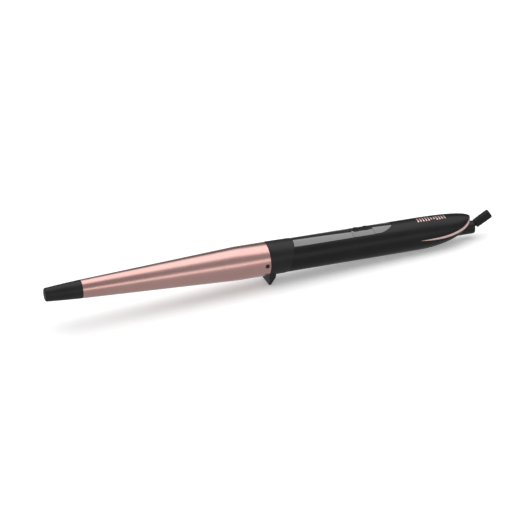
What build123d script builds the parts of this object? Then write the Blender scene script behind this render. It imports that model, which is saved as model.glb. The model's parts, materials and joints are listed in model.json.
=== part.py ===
from build123d import *
import os
from math import acos, cos, degrees, radians, sin, sqrt, tan

os.makedirs("parts", exist_ok=True)

# A conical curling wand, made as it comes apart on a bench. Millimetres and degrees.
# +X runs along the wand from its tip to its cord end and +Z points up through the buttons.
# The origin is the middle of the flat edge of the foot that the wand rests on.
# Places along X count from the barrel's rear end. Heights count from the wand's long axis.

# --------------------------------------------------------------- driving dimensions

# the wand as a whole
axis_height = 18.5          # from the foot's edge up to the long axis
barrel_length = 140.0
tip_length = 26.7
handle_length = 165.0       # from the barrel's rear end to the tail's nose
handle_radius = 12.25

# fits
snug = 0.05                 # between pieces that are pushed together
running = 0.08              # between pieces that turn or slide
seam = 0.15                 # the line between two outside pieces
loose = 0.3                 # where a piece only has to pass

# barrel
barrel_radius = 12.5
barrel_tip_radius = 6.8
barrel_straight = 23.0      # the stretch beside the collar that isn't tapered
barrel_wall = 0.8
barrel_screw_inset = 2.9
barrel_screw_radius = 1.6
barrel_screw_stand = 0.12   # how far the screw's head stands out of the barrel

# cool tip
tip_end_radius = 4.9
tip_round = 1.2
tip_spigot = 8.0
tip_wall = 1.6
insulator_thickness = 3.0
insulator_bore = 1.5

# heater
shoe_front_margin = 28.0    # from the tip's seam to the shoes
shoe_rear_margin = 32.0     # from the shoes to the barrel's rear end
shoe_wall = 1.0
shoe_split = 1.0            # the saw cut along the crown of each shoe
stack_inset = 4.0           # from a shoe's end to the stones
stone_length = 20.0
stone_gap = 4.0
stone_width = 9.0
stone_thickness = 2.0
electrode_thickness = 0.4
electrode_tab = 6.0
tab_width = 2.0
film_thickness = 0.15
thermistor_radius = 1.0
thermistor_length = 12.0
thermistor_inset = 5.0      # ahead of the shoes' rear end
fuse_radius = 1.4
fuse_length = 9.0

# bush that joins the barrel to the collar and the handle
bush_in_barrel = 12.0
bush_in_collar = 9.0
bush_wall = 1.9
bush_web = 2.0

# collar and foot
collar_length = 16.4        # on the axis
collar_slant = 17.2
collar_wall = 1.35
collar_step = 0.4           # how far its front stands out of the handle's round
collar_rear_step = 0.2      # and its rear
collar_rim_step = 0.2       # how far its rim lies inside the barrel's round
collar_rim_length = 1.6
foot_edge = 1.3
foot_root = 4.8
foot_half_width = 8.0
foot_splay = 1.5            # how much wider the foot is, each side, at its root
foot_corner = 1.2

# handle
handle_wall = 2.0
spigot_wall = 1.6
tail_length = 45.6
nose_height = 7.7
tail_steps = 10             # sections that the tail is lofted through
post_radius = 2.5
pilot_radius = 0.8
rib = 1.5
handle_lead_in = 2.0        # solid wall behind the collar, before the hollow

# panel and buttons
panel_tail_gap = 19.4       # from the panel's end to the start of the tail
panel_round = 14.0
panel_half_width = 7.7
panel_thickness = 1.2
panel_gap = 0.2
panel_pin_radius = 1.0
panel_pin_length = 1.4
panel_pin_side = 4.0
panel_pin_margin = 9.0      # from the panel's ends and the plate
plate_rear_margin = 16.3    # from the plate to the panel's end
plate_length = 16.8
plate_window = 0.8          # the ledge that the plate's ends rest on
button_radius = 2.9
button_pitch = 7.8
button_stand = 0.45
button_travel = 0.5
button_flange = 0.45
button_flange_thickness = 0.8
button_stem = 1.2

# circuit board
board_front = 24.0          # from the barrel's rear end
board_tail_gap = 11.4       # from the board to the start of the tail
board_half_width = 9.0
board_thickness = 1.6
board_height = 2.4          # of its lower face
board_screw_inset = 4.0
screw_depth = 6.0
shell_screw_margin = 8.3    # from the plate to the rear shell screw
shell_screw_share = 0.427   # of the way from the board's front screw to the plate
shell_boss_top = 8.0
switch_size = 6.0
switch_height = 3.4
plunger_radius = 1.7
plunger_height = 0.9
board_fuse_radius = 1.7

# trim band: share of the tail's length, then height and half-width as shares of the radius
band_course = (
    (0.25, -0.033, 0.053),
    (0.55, 0.025, 0.082),
    (0.70, 0.130, 0.090),
    (0.83, 0.265, 0.105),
    (0.93, 0.455, 0.118),
    (1.03, 0.700, 0.130),
)
band_depth = 1.3
band_stand = 0.12

# swivel and cord guard
swivel_wall = 1.1           # around the ball
swivel_drop = 1.85          # of the swivel's axis below the wand's
swivel_clearance = 0.25
housing_inset = 7.0         # behind the start of the tail
housing_length = 11.0
housing_wall = 1.0
flange_thickness = 2.0
spigot_radius = 3.0
spigot_length = 12.0
ring_width = 3.0
ring_thickness = 0.6
ring_pitch = 5.0
holder_margin = 1.5         # of the brush holder beyond the rings, each way
clip_thickness = 0.8
clip_stand = 0.7
wire_bore = 1.2
ball_radius = 3.9
ball_overhang = 0.85        # of the ball's centre beyond the tail's nose
cap_lip = 0.7               # of the cap beyond the throat that keeps the ball in
neck_radius = 1.9
neck_length = 8.0
guard_tilt = 30.5
guard_start = 5.3
guard_length = 13.2
guard_radius = 3.575
cord_radius = 2.8

# leads
lead_radius = 0.7
lead_bend = 2.4

# --------------------------------------------------------------- places that follow

barrel_end = -foot_edge / 2
tip_seam = barrel_end - barrel_length
tip_end = tip_seam - tip_length
collar_rear = barrel_end + collar_length
collar_radius = handle_radius + collar_step
slant_reach = collar_radius * tan(radians(collar_slant))
handle_end = barrel_end + handle_length
tail_start = handle_end - tail_length
inner_radius = handle_radius - handle_wall
inner_front = collar_rear + slant_reach + handle_lead_in
bush_collar_radius = min(handle_radius, barrel_radius) - collar_wall
spigot_front = barrel_end + bush_in_collar + loose
shoe_front = tip_seam + shoe_front_margin
shoe_rear = barrel_end - shoe_rear_margin
stone_pitch = stone_length + stone_gap
stone_room = shoe_rear - shoe_front - 2 * stack_inset
stone_count = int((stone_room + stone_gap) / stone_pitch)
stack_half = stone_thickness / 2 + electrode_thickness + film_thickness + 2 * snug
electrode_height = stone_thickness / 2 + electrode_thickness / 2
tab_rear = shoe_rear + electrode_tab
lead_side = stone_width / 2 - tab_width / 2
thermistor_side = lead_side + 2 * lead_radius + 2 * loose
thermistor_height = stack_half + shoe_wall + thermistor_radius + snug
thermistor_rear = shoe_rear - thermistor_inset
panel_floor = handle_radius - panel_thickness
panel_end = tail_start - panel_tail_gap
plate_end = panel_end - plate_rear_margin
plate_start = plate_end - plate_length
plate_middle = (plate_start + plate_end) / 2
button_places = (plate_middle - button_pitch / 2, plate_middle + button_pitch / 2)
board_start = barrel_end + board_front
board_end = tail_start - board_tail_gap
board_top = board_height + board_thickness
board_screw_places = (board_start + board_screw_inset, board_end - board_screw_inset)
front_room = plate_start - board_screw_places[0]
shell_screw_front = board_screw_places[0] + shell_screw_share * front_room
shell_screws_x = (shell_screw_front, plate_end + shell_screw_margin)
pin_places = (inner_front + panel_pin_margin, plate_start - panel_pin_margin)
swivel_radius = ball_radius + swivel_wall
housing_front = tail_start + housing_inset
housing_rear = housing_front + housing_length
housing_radius = swivel_radius + running + housing_wall
rib_places = (housing_front + 1.0, housing_rear - 1.0 - rib)
flange_rear = housing_front - loose
spigot_rear = flange_rear - flange_thickness
ball_x = handle_end + ball_overhang
ring_rear = spigot_rear - loose - holder_margin - ring_width
ring_places = (ring_rear, ring_rear - ring_pitch)
ring_radius = spigot_radius + ring_thickness

far = 4 * handle_radius     # longer than any cut across the wand

# --------------------------------------------------------------- ways of drawing


def across(x, height=0.0):
    """The plane square to the wand at x, its local X along +Y and its local Y up."""
    return Plane(origin=(x, 0, axis_height + height), x_dir=(0, 1, 0), z_dir=(1, 0, 0))


def level(height):
    """The level plane at a height above the wand's axis."""
    return Plane.XY.offset(axis_height + height)


def tilted_side(x, height, tilt):
    """The upright plane through the wand, its local X raised by the tilt."""
    ahead = (cos(radians(tilt)), 0, sin(radians(tilt)))
    return Plane(origin=(x, 0, axis_height + height), x_dir=ahead, z_dir=(0, -1, 0))


side = tilted_side(0, 0, 0)


def slanted(gap):
    """The collar's slanted rear plane, moved towards the tail by a gap."""
    facing = (cos(radians(collar_slant)), 0, -sin(radians(collar_slant)))
    return Plane(origin=(collar_rear + gap, 0, axis_height), x_dir=(0, 1, 0), z_dir=facing)


def outline(plane, *points):
    with BuildSketch(plane) as shape:
        with BuildLine():
            Polyline(*points, close=True)
        make_face()
    return shape.sketch


def turned(*points, plane=side, mode=Mode.ADD):
    """Turns an outline of (distance, radius) points about the plane's own X axis."""
    revolve(outline(plane, *points), axis=Axis(plane.origin, plane.x_dir), mode=mode)


def rod(start, end, radius, y=0.0, height=0.0, mode=Mode.ADD):
    """A round bar along X."""
    with BuildSketch(across(start, height)) as disc:
        with Locations((y, 0)):
            Circle(radius)
    extrude(disc.sketch, amount=end - start, mode=mode)


def post(x, y, low, high, radius, mode=Mode.ADD):
    """A round bar that stands upright."""
    with BuildSketch(level(low)) as disc:
        with Locations((x, y)):
            Circle(radius)
    extrude(disc.sketch, amount=high - low, mode=mode)


def block(x_range, y_range, z_range, mode=Mode.ADD):
    """A box between two places along each axis."""
    (x0, x1), (y0, y1), (z0, z1) = x_range, y_range, z_range
    with BuildSketch(level(z0)) as base:
        with Locations(((x0 + x1) / 2, (y0 + y1) / 2)):
            Rectangle(x1 - x0, y1 - y0)
    extrude(base.sketch, amount=z1 - z0, mode=mode)


# --------------------------------------------------------------- cool tip and barrel


def barrel_outside(x):
    """The barrel's outer radius at x."""
    taper = barrel_length - barrel_straight
    share = min(1.0, (x - tip_seam) / taper)
    return barrel_tip_radius + share * (barrel_radius - barrel_tip_radius)


def inside(x, gap=snug):
    """The radius of a piece that fits inside the barrel at x."""
    return barrel_outside(x) - barrel_wall - gap


straight_start = barrel_end - barrel_straight

with BuildPart() as barrel:
    turned(
        (tip_seam, barrel_tip_radius),
        (straight_start, barrel_radius),
        (barrel_end, barrel_radius),
        (barrel_end, barrel_radius - barrel_wall),
        (straight_start, barrel_radius - barrel_wall),
        (tip_seam, barrel_tip_radius - barrel_wall),
    )
    screw_x = barrel_end - barrel_screw_inset
    with BuildSketch(Plane.XZ.offset(-far / 2)) as screw_hole:
        with Locations((screw_x, axis_height)):
            Circle(barrel_screw_radius + snug)
    extrude(screw_hole.sketch, amount=far, mode=Mode.SUBTRACT)

spigot_end = tip_seam + tip_spigot
tip_cavity_front = tip_end + 2 * tip_wall
with BuildPart() as cool_tip:
    turned(
        (tip_end, 0),
        (tip_end, tip_end_radius),
        (tip_seam - seam, barrel_tip_radius),
        (tip_seam - seam, inside(tip_seam)),
        (tip_seam, inside(tip_seam)),
        (spigot_end, inside(spigot_end)),
        (spigot_end, inside(tip_seam) - tip_wall),
        (tip_cavity_front, tip_end_radius - tip_wall),
        (tip_cavity_front, 0),
    )
    fillet(cool_tip.edges().group_by(Axis.X)[0], tip_round)

disc_front = spigot_end + loose
disc_rear = disc_front + insulator_thickness
with BuildPart() as tip_insulator:
    turned(
        (disc_front, insulator_bore),
        (disc_front, inside(disc_front)),
        (disc_rear, inside(disc_rear)),
        (disc_rear, insulator_bore),
    )

# --------------------------------------------------------------- heater

with BuildPart() as shoe_hollow:
    turned(
        (shoe_front - 1, 0),
        (shoe_front - 1, inside(shoe_front) - shoe_wall),
        (shoe_rear + 1, inside(shoe_rear) - shoe_wall),
        (shoe_rear + 1, 0),
    )
    block((-far * 4, far), (-far, far), (-far, stack_half + shoe_wall), Mode.SUBTRACT)
    block((-far * 4, far), (-shoe_split / 2, shoe_split / 2), (-far, far), Mode.SUBTRACT)

with BuildPart() as heater_shoe_upper:
    turned(
        (shoe_front, 0),
        (shoe_front, inside(shoe_front)),
        (shoe_rear, inside(shoe_rear)),
        (shoe_rear, 0),
    )
    block((-far * 4, far), (-far, far), (-far, stack_half), Mode.SUBTRACT)
    add(shoe_hollow.part, mode=Mode.SUBTRACT)

with BuildPart() as heater_shoe_lower:
    mirror(heater_shoe_upper.part, about=level(0))

shoe_middle = (shoe_front + shoe_rear) / 2
with BuildPart() as ptc_stones:
    with BuildSketch(level(-stone_thickness / 2)):
        with Locations((shoe_middle, 0)):
            with GridLocations(stone_pitch, 1, stone_count, 1):
                Rectangle(stone_length, stone_width)
    extrude(amount=stone_thickness)


def electrode(hand):
    """A thin plate over the stones, with a tab towards the handle on one side."""
    half = stone_width / 2
    low = hand * electrode_height - electrode_thickness / 2
    high = hand * electrode_height + electrode_thickness / 2
    tab = sorted((hand * half, hand * (half - tab_width)))
    with BuildPart() as plate:
        block((shoe_front + stack_inset, shoe_rear), (-half, half), (low, high))
        block((shoe_rear, tab_rear), tab, (low, high))
    return plate


electrode_upper = electrode(1)
electrode_lower = electrode(-1)

sleeve_inner = stack_half - snug - film_thickness
with BuildPart() as insulating_sleeve:
    sleeve_x = (shoe_front + stack_inset / 2, shoe_rear)
    reach = stone_width / 2 + snug
    outer = reach + film_thickness
    block(sleeve_x, (-outer, outer), (-sleeve_inner - film_thickness, sleeve_inner + film_thickness))
    block(sleeve_x, (-reach, reach), (-sleeve_inner, sleeve_inner), Mode.SUBTRACT)

with BuildPart() as thermistor:
    rod(
        thermistor_rear - thermistor_length,
        thermistor_rear,
        thermistor_radius,
        thermistor_side,
        thermistor_height,
    )
    fillet(thermistor.edges().group_by(Axis.X)[0], thermistor_radius * 0.8)

fuse_front = tab_rear + snug
fuse_rear = fuse_front + fuse_length
with BuildPart() as thermal_fuse:
    rod(fuse_front, fuse_rear, fuse_radius, -lead_side, -electrode_height)
    fillet(thermal_fuse.edges().group_by(Axis.X)[-1], fuse_radius / 2)

bush_front = barrel_end - bush_in_barrel
bush_rear = barrel_end + bush_in_collar
bush_radius = inside(barrel_end)
bush_bore = min(bush_radius, bush_collar_radius) - bush_wall
with BuildPart() as barrel_bush:
    turned(
        (bush_front, 0),
        (bush_front, bush_radius),
        (barrel_end, bush_radius),
        (barrel_end, bush_collar_radius),
        (bush_rear, bush_collar_radius),
        (bush_rear, bush_bore),
        (bush_front + bush_web, bush_bore),
        (bush_front + bush_web, 0),
    )
    web_rear = bush_front + bush_web + snug
    hole = lead_radius + loose
    rod(bush_front - 1, web_rear, hole, lead_side, electrode_height, Mode.SUBTRACT)
    rod(bush_front - 1, web_rear, hole, -lead_side, -electrode_height, Mode.SUBTRACT)
    rod(bush_front - 1, web_rear, hole, thermistor_side, thermistor_height, Mode.SUBTRACT)
    with BuildSketch(Plane.XZ.offset(-far / 2)) as pilot:
        with Locations((screw_x, axis_height)):
            Circle(pilot_radius + snug)
    extrude(pilot.sketch, amount=far, mode=Mode.SUBTRACT)

screw_top = barrel_radius + barrel_screw_stand
screw_recess = 0.4
screw_slot = 0.4
with BuildPart() as barrel_screws:
    with BuildSketch(Plane.XZ.offset(bush_radius + snug)) as head:
        with Locations((screw_x, axis_height)):
            Circle(barrel_screw_radius)
    extrude(head.sketch, amount=screw_top - bush_radius - snug)
    fillet(barrel_screws.edges().group_by(Axis.Y)[0], 0.2)
    with BuildSketch(Plane.XZ.offset(bush_bore)) as shank:
        with Locations((screw_x, axis_height)):
            Circle(pilot_radius)
    extrude(shank.sketch, amount=bush_radius + snug - bush_bore)
    with BuildSketch(Plane.XZ.offset(screw_top - screw_recess)) as cross:
        with Locations((screw_x, axis_height)):
            Rectangle(barrel_screw_radius * 1.3, screw_slot)
            Rectangle(screw_slot, barrel_screw_radius * 1.3)
    extrude(cross.sketch, amount=screw_recess + 1, mode=Mode.SUBTRACT)
    mirror(about=Plane.XZ)

# --------------------------------------------------------------- collar and foot

collar_rim = barrel_radius - collar_rim_step
with BuildPart() as foot:
    foot_front = barrel_end
    foot_rear = foot_front + foot_edge
    root_rear = foot_front + foot_root
    root_height = -collar_rim + 0.8
    with BuildSketch(side) as foot_profile:
        with BuildLine():
            Polyline(
                (foot_rear, -axis_height),
                (foot_front, -axis_height),
                (foot_front, 0),
                (root_rear, 0),
                (root_rear, root_height),
            )
            Spline(
                (root_rear, root_height),
                (foot_rear, -axis_height),
                tangents=((0, -1), (-0.28, -1)),
                tangent_scalars=(0.6, 1.2),
            )
        make_face()
    extrude(amount=far / 2, both=True)
    wide = foot_half_width + foot_splay
    front_view = outline(
        across(foot_front - 1),
        (-foot_half_width, -axis_height),
        (foot_half_width, -axis_height),
        (wide, -sqrt(collar_rim**2 - wide**2)),
        (wide, 0),
        (-wide, 0),
        (-wide, -sqrt(collar_rim**2 - wide**2)),
    )
    extrude(front_view, amount=far, mode=Mode.INTERSECT)
    corners = foot.edges().filter_by(Axis.X).group_by(Axis.Z)[0]
    fillet(corners, foot_corner)

with BuildPart() as collar_stand:
    turned(
        (barrel_end, 0),
        (barrel_end, collar_rim),
        (barrel_end + collar_rim_length, collar_radius),
        (collar_rear + slant_reach + 1, handle_radius + collar_rear_step),
        (collar_rear + slant_reach + 1, 0),
    )
    add(foot.part)
    rod(barrel_end - 1, collar_rear + far, bush_collar_radius + snug, mode=Mode.SUBTRACT)
    split(bisect_by=slanted(0), keep=Keep.BOTTOM)

# --------------------------------------------------------------- handle


def tail_section(share):
    """Half-width, top and bottom of the handle at a share of the tail's length."""
    half_width = handle_radius * sqrt(1 - share**3.5)
    top = nose_height + (handle_radius - nose_height) * (1 - share**1.8) ** 0.4
    bottom = nose_height - (handle_radius + nose_height) * sqrt(1 - share**2)
    return half_width, top, bottom


def handle_form(front, inset):
    """The handle's outer form, or that form shrunk by an inset, from front to the nose."""
    with BuildPart() as form:
        rod(front, tail_start, handle_radius - inset)
        for step in range(tail_steps + 1):
            share = min(0.9985, sin(radians(90 * step / tail_steps)))
            half_width, top, bottom = tail_section(share)
            wide = half_width - inset
            tall = (top - bottom) / 2 - inset
            if min(wide, tall) > 0.3:
                with BuildSketch(across(tail_start + share * tail_length, (top + bottom) / 2)):
                    Ellipse(wide, tall)
        loft()
    return form.part


def band_edges(gap):
    """Points of the band's upper and lower edge in side view, widened by a gap."""
    upper = [(tail_start, 0)]
    lower = [(tail_start, 0)]
    for share, height, half in band_course:
        x = tail_start + share * tail_length
        upper.append((x, (height + half) * handle_radius + gap))
        lower.append((x, (height - half) * handle_radius - gap))
    return upper, lower


def beside_band(edge, hand):
    """The side view of all that lies above (hand 1) or below (hand -1) the parting line."""
    front = barrel_end
    with BuildSketch(side) as region:
        with BuildLine():
            Spline(*edge)
            Polyline(edge[-1], (edge[-1][0] + far, edge[-1][1]), (edge[-1][0] + far, hand * far))
            Polyline((edge[-1][0] + far, hand * far), (front, hand * far), (front, 0), edge[0])
        make_face()
    return region.sketch


def swivel_hole(mode):
    """Room for the swivel to leave the tail."""
    rod(
        housing_rear - 1,
        handle_end + far,
        swivel_radius + swivel_clearance,
        height=-swivel_drop,
        mode=mode,
    )


def panel_slab(margin, low, high):
    """A curved slab under the panel's outline, between two radii."""
    straight_end = panel_end - panel_round
    half = panel_half_width + margin
    with BuildPart() as slab:
        with BuildSketch(level(0)):
            with Locations(((barrel_end + straight_end) / 2, 0)):
                Rectangle(straight_end - barrel_end, 2 * half)
            with Locations((straight_end, 0)):
                Ellipse(panel_round + margin, half)
        extrude(amount=far)
        turned(
            (barrel_end, low),
            (barrel_end, high),
            (panel_end + far, high),
            (panel_end + far, low),
            mode=Mode.INTERSECT,
        )
    return slab.part


spigot_outer = bush_collar_radius
spigot_bore = spigot_outer - spigot_wall
outer_form = handle_form(collar_rear - slant_reach, 0)

with BuildPart() as cavity:
    add(handle_form(inner_front, handle_wall))
    for place in rib_places:
        block((place, place + rib), (-far, far), (-far, far), Mode.SUBTRACT)

with BuildPart() as shell:
    add(outer_form)
    split(bisect_by=slanted(seam), keep=Keep.TOP)
    rod(spigot_front, inner_front, spigot_outer)
    rod(spigot_front - 1, inner_front, spigot_bore, mode=Mode.SUBTRACT)
    add(cavity.part, mode=Mode.SUBTRACT)
    rod(housing_front - 1, housing_rear + 1, housing_radius + snug, height=-swivel_drop, mode=Mode.SUBTRACT)
    swivel_hole(Mode.SUBTRACT)

upper_edge, lower_edge = band_edges(snug)
window_half = button_radius + button_flange + 4 * loose
shell_head_radius = 1.7
shell_head_height = 1.4
head_seat = panel_floor - shell_head_height - loose

with BuildPart() as handle_upper:
    add(shell.part)
    extrude(beside_band(upper_edge, 1), amount=far, both=True, mode=Mode.INTERSECT)
    for x in shell_screws_x:
        post(x, 0, shell_boss_top + seam, panel_floor - loose, post_radius)
    add(panel_slab(0, panel_floor, handle_radius + 2), mode=Mode.SUBTRACT)
    block(
        (plate_start + plate_window, plate_end - plate_window),
        (-window_half, window_half),
        (0, far),
        Mode.SUBTRACT,
    )
    for x in shell_screws_x:
        post(x, 0, 0, far, pilot_radius + loose, Mode.SUBTRACT)
        post(x, 0, head_seat, far, shell_head_radius + seam, Mode.SUBTRACT)
    for x in pin_places:
        post(x, panel_pin_side, 0, far, panel_pin_radius + snug, Mode.SUBTRACT)

with BuildPart() as handle_lower:
    add(shell.part)
    extrude(beside_band(lower_edge, -1), amount=far, both=True, mode=Mode.INTERSECT)
    rooted = -handle_radius + handle_wall / 2
    for x in board_screw_places:
        post(x, 0, rooted, board_height, post_radius)
        post(x, 0, board_height - screw_depth, board_height, pilot_radius + snug, Mode.SUBTRACT)
    for x in shell_screws_x:
        post(x, 0, rooted, shell_boss_top, post_radius)
        post(x, 0, shell_boss_top - screw_depth, shell_boss_top, pilot_radius + snug, Mode.SUBTRACT)

with BuildPart() as trim_band:
    add(handle_form(tail_start - 1, -band_stand))
    edge_above, edge_below = band_edges(0)
    with BuildSketch(side) as band_view:
        with BuildLine():
            Spline(*edge_above)
            Line(edge_above[-1], edge_below[-1])
            Spline(*edge_below)
        make_face()
    extrude(band_view.sketch, amount=far, both=True, mode=Mode.INTERSECT)
    add(handle_form(tail_start - 2, band_depth), mode=Mode.SUBTRACT)
    swivel_hole(Mode.SUBTRACT)

# --------------------------------------------------------------- panel and buttons

slab = panel_slab(-panel_gap, panel_floor + snug, handle_radius)


def panel_piece(start, end):
    """The stretch of the panel between two places."""
    with BuildPart() as piece:
        add(slab)
        block((start, end), (-far, far), (0, far), Mode.INTERSECT)
        split(bisect_by=slanted(seam + panel_gap), keep=Keep.TOP)
    return piece.part


with BuildPart() as panel_front:
    add(panel_piece(barrel_end, plate_start - panel_gap / 2))
    pin_top = sqrt(panel_floor**2 - panel_pin_side**2) + panel_thickness / 2
    pin_low = pin_top - panel_thickness / 2 - panel_pin_length
    for x in pin_places:
        post(x, panel_pin_side, pin_low, pin_top, panel_pin_radius)

with BuildPart() as button_plate:
    add(panel_piece(plate_start + panel_gap / 2, plate_end - panel_gap / 2))
    for x in button_places:
        post(x, 0, 0, far, button_radius + running, Mode.SUBTRACT)

with BuildPart() as panel_rear:
    add(panel_piece(plate_end + panel_gap / 2, panel_end + far))

flange_radius = button_radius + button_flange
flange_top = sqrt(panel_floor**2 - flange_radius**2) - 3 * snug
flange_low = flange_top - button_flange_thickness
switch_top = board_top + switch_height
plunger_top = switch_top + plunger_height
stem_low = plunger_top + button_travel + 2 * snug
button_top = handle_radius + button_stand


def button(x):
    """A round cap that a flange keeps under the plate, with a stem over its switch."""
    with BuildPart() as cap:
        post(x, 0, flange_low, button_top, button_radius)
        fillet(cap.edges().group_by(Axis.Z)[-1], 0.4)
        post(x, 0, flange_low, flange_top, flange_radius)
        post(x, 0, stem_low, flange_low, button_stem)
    return cap


power_button = button(button_places[0])
temperature_button = button(button_places[1])

# --------------------------------------------------------------- circuit board


def push_switch(x):
    half = switch_size / 2
    with BuildPart() as switch:
        block((x - half, x + half), (-half, half), (board_top, switch_top))
        post(x, 0, switch_top, plunger_top, plunger_radius)
    return switch


power_switch = push_switch(button_places[0])
temperature_switch = push_switch(button_places[1])

with BuildPart() as circuit_board:
    block((board_start, board_end), (-board_half_width, board_half_width), (board_height, board_top))
    for x in shell_screws_x:
        post(x, 0, board_height - 1, board_top + 1, post_radius + seam, Mode.SUBTRACT)
    for x in board_screw_places:
        post(x, 0, board_height - 1, board_top + 1, pilot_radius + loose, Mode.SUBTRACT)


def on_board(x, length, half_width, height, y=0.0):
    """A moulded component that stands on the board, or hangs under it if height is negative."""
    z_range = (board_top, board_top + height)
    if height < 0:
        z_range = (board_height + height, board_height)
    with BuildPart() as component:
        block((x, x + length), (y - half_width, y + half_width), z_range)
        chamfer(component.edges().filter_by(Axis.Z), 0.3)
    return component


beside_bosses = post_radius + 2 * loose     # how far off the middle a component has to start
capacitor_length = 13.0
capacitor_front = plate_middle - capacitor_length / 2
triac_length = 5.0
control_chip = on_board(capacitor_front - 10, 6, 2.5, 1.5, y=beside_bosses + 2.5)
indicator_led = on_board(plate_end + 1.8, 2, 0.8, 0.8)
triac = on_board(capacitor_front + capacitor_length + 1, triac_length, 4, -3)
film_capacitor = on_board(capacitor_front, capacitor_length, 3, -8)

with BuildPart() as board_fuse:
    fuse_side = beside_bosses + board_fuse_radius
    rod(plate_middle - 4, plate_middle + 4, board_fuse_radius, fuse_side, board_height - board_fuse_radius)


recess_half = 0.2           # of the width of a cross recess
recess_depth = 0.5


def pan_screws(places, seat, head_radius, head_height):
    """Pan-headed screws that stand upright at several places, with a cross recess."""
    with BuildPart() as screws:
        for x in places:
            post(x, 0, seat, seat + head_height, head_radius)
            post(x, 0, seat - screw_depth, seat, pilot_radius)
        fillet(screws.edges().group_by(Axis.Z)[-1], 0.3)
        top = seat + head_height
        arm = head_radius * 0.6
        for x in places:
            for along, over in ((arm, recess_half), (recess_half, arm)):
                block((x - along, x + along), (-over, over), (top - recess_depth, top + 1), Mode.SUBTRACT)
    return screws


board_screws = pan_screws(board_screw_places, board_top, 1.8, 1.3)
shell_screws = pan_screws(shell_screws_x, head_seat, shell_head_radius, shell_head_height)

# --------------------------------------------------------------- swivel and cord guard

with BuildPart() as swivel_housing:
    rod(housing_front, housing_rear, housing_radius, height=-swivel_drop)
    bore = swivel_radius + running
    rod(housing_front - 1, housing_rear + 1, bore, height=-swivel_drop, mode=Mode.SUBTRACT)

clip_front = housing_rear + loose
clip_groove = swivel_radius - clip_stand
with BuildPart() as swivel_barrel:
    rod(spigot_rear - spigot_length, spigot_rear, spigot_radius, height=-swivel_drop)
    rod(spigot_rear, flange_rear, swivel_radius + clip_stand, height=-swivel_drop)
    rod(flange_rear, clip_front, swivel_radius, height=-swivel_drop)
    rod(clip_front, clip_front + clip_thickness, clip_groove, height=-swivel_drop)
    rod(clip_front + clip_thickness, ball_x, swivel_radius, height=-swivel_drop)
    rod(spigot_rear - far, ball_x, wire_bore, height=-swivel_drop, mode=Mode.SUBTRACT)
    with Locations((ball_x, 0, axis_height - swivel_drop)):
        Sphere(ball_radius + running, mode=Mode.SUBTRACT)

with BuildPart() as swivel_clip:
    clip_rear = clip_front + clip_thickness - running
    rod(clip_front + running, clip_rear, swivel_radius + clip_stand, height=-swivel_drop)
    rod(clip_front, clip_rear + 1, clip_groove + snug, height=-swivel_drop, mode=Mode.SUBTRACT)
    gap_half = clip_groove * 0.5
    block(
        (clip_front - 1, clip_rear + 1),
        (-gap_half, gap_half),
        (-swivel_drop, far),
        Mode.SUBTRACT,
    )

flare_slope = tan(radians(guard_tilt + 4))
flare_start = neck_radius + 0.55
socket_radius = ball_radius + running
# the throat is where the flare, r = start + slope * d, meets the socket, r * r + d * d = radius squared
steep = 1 + flare_slope**2
lean = flare_start * flare_slope
throat = (sqrt(lean**2 - steep * (flare_start**2 - socket_radius**2)) - lean) / steep
cap_length = throat + cap_lip
flare_end = flare_start + flare_slope * cap_length
socket_side = tilted_side(ball_x, -swivel_drop, 0)
with BuildPart() as swivel_cap:
    with BuildSketch(socket_side) as cap_profile:
        with BuildLine():
            CenterArc((0, 0), socket_radius, 90, -(90 - degrees(acos(throat / socket_radius))))
            Polyline(
                (throat, flare_start + flare_slope * throat),
                (cap_length, flare_end),
                (cap_length, swivel_radius),
                (0, swivel_radius),
                (0, socket_radius),
            )
        make_face()
    revolve(axis=Axis(socket_side.origin, socket_side.x_dir))
    fillet(swivel_cap.edges().group_by(Axis.X)[-1].sort_by(SortBy.RADIUS)[-1], 0.4)


def slip_ring(x):
    with BuildPart() as ring:
        rod(x, x + ring_width, ring_radius, height=-swivel_drop)
        rod(x - 1, x + ring_width + 1, spigot_radius + snug, height=-swivel_drop, mode=Mode.SUBTRACT)
    return ring


slip_ring_live = slip_ring(ring_places[0])
slip_ring_neutral = slip_ring(ring_places[1])

brush_wall_inner = ring_radius + 1.0
brush_wall = 1.3
brush_tab_top = 1.2
brush_strip = 0.3
brush_half = 1.0
pad_half = 0.8
holder_top = 0.5
with BuildPart() as brush_holder:
    holder_x = (ring_places[1] - holder_margin, ring_places[0] + ring_width + holder_margin)
    holder_half = brush_wall_inner + brush_wall
    block(holder_x, (-holder_half, holder_half), (-handle_radius, holder_top))
    block(
        holder_x,
        (-brush_wall_inner, brush_wall_inner),
        (-swivel_drop - brush_wall_inner - loose, far),
        Mode.SUBTRACT,
    )
    add(handle_form(holder_x[0], handle_wall + snug), mode=Mode.INTERSECT)


def brush(x, hand):
    """A contact pad beside a slip ring, on a strip that leads up to the mains lead."""
    middle = x + ring_width / 2
    near = ring_radius + running
    strip = sorted((hand * (brush_wall_inner - brush_strip), hand * brush_wall_inner))
    pad = sorted((hand * near, hand * brush_wall_inner))
    with BuildPart() as contact:
        width = (middle - brush_half, middle + brush_half)
        block(width, strip, (-swivel_drop - brush_half, brush_tab_top))
        block(width, pad, (-swivel_drop - pad_half, -swivel_drop + pad_half))
    return contact


brush_live = brush(ring_places[0], 1)
brush_neutral = brush(ring_places[1], -1)

guard_side = tilted_side(ball_x, -swivel_drop, guard_tilt)

with BuildPart() as guard_ball:
    with Locations((ball_x, 0, axis_height - swivel_drop)):
        Sphere(ball_radius)
    turned((0, 0), (0, neck_radius), (neck_length, neck_radius), (neck_length, 0), plane=guard_side)
    turned(
        (-far, 0),
        (-far, wire_bore),
        (neck_length + 1, wire_bore),
        (neck_length + 1, 0),
        plane=guard_side,
        mode=Mode.SUBTRACT,
    )

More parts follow.
